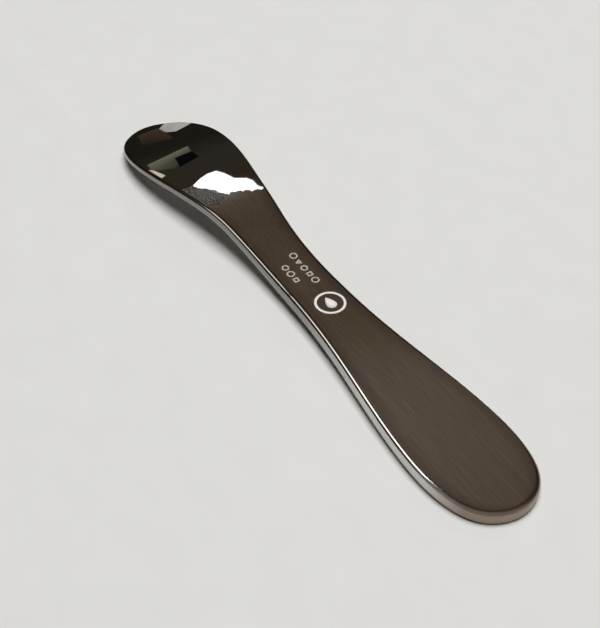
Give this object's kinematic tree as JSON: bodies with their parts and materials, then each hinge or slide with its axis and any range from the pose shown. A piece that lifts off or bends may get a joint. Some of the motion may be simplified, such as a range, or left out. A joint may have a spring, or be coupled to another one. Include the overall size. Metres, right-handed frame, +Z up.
{
  "type": "ink knife",
  "caption": "One-piece stainless ink knife: flat rounded handle, narrow waist and a thin round-ended blade over a low arch, for lifting and spreading ink.",
  "frame": {"origin": "on the bench that the knife lies on, halfway along its length, on its centre line", "axes": "+X along the knife towards the blade's tip, +Y across it, +Z up from the bench"},
  "size_m": [0.13, 0.0214, 0.007],
  "materials": {
    "stainless_steel": "brushed lengthwise on the handle and neck, mirror-polished on the blade and the rims"
  },
  "bodies": {
    "root": {"knife_body": "stainless_steel"}
  },
  "joints": []
}
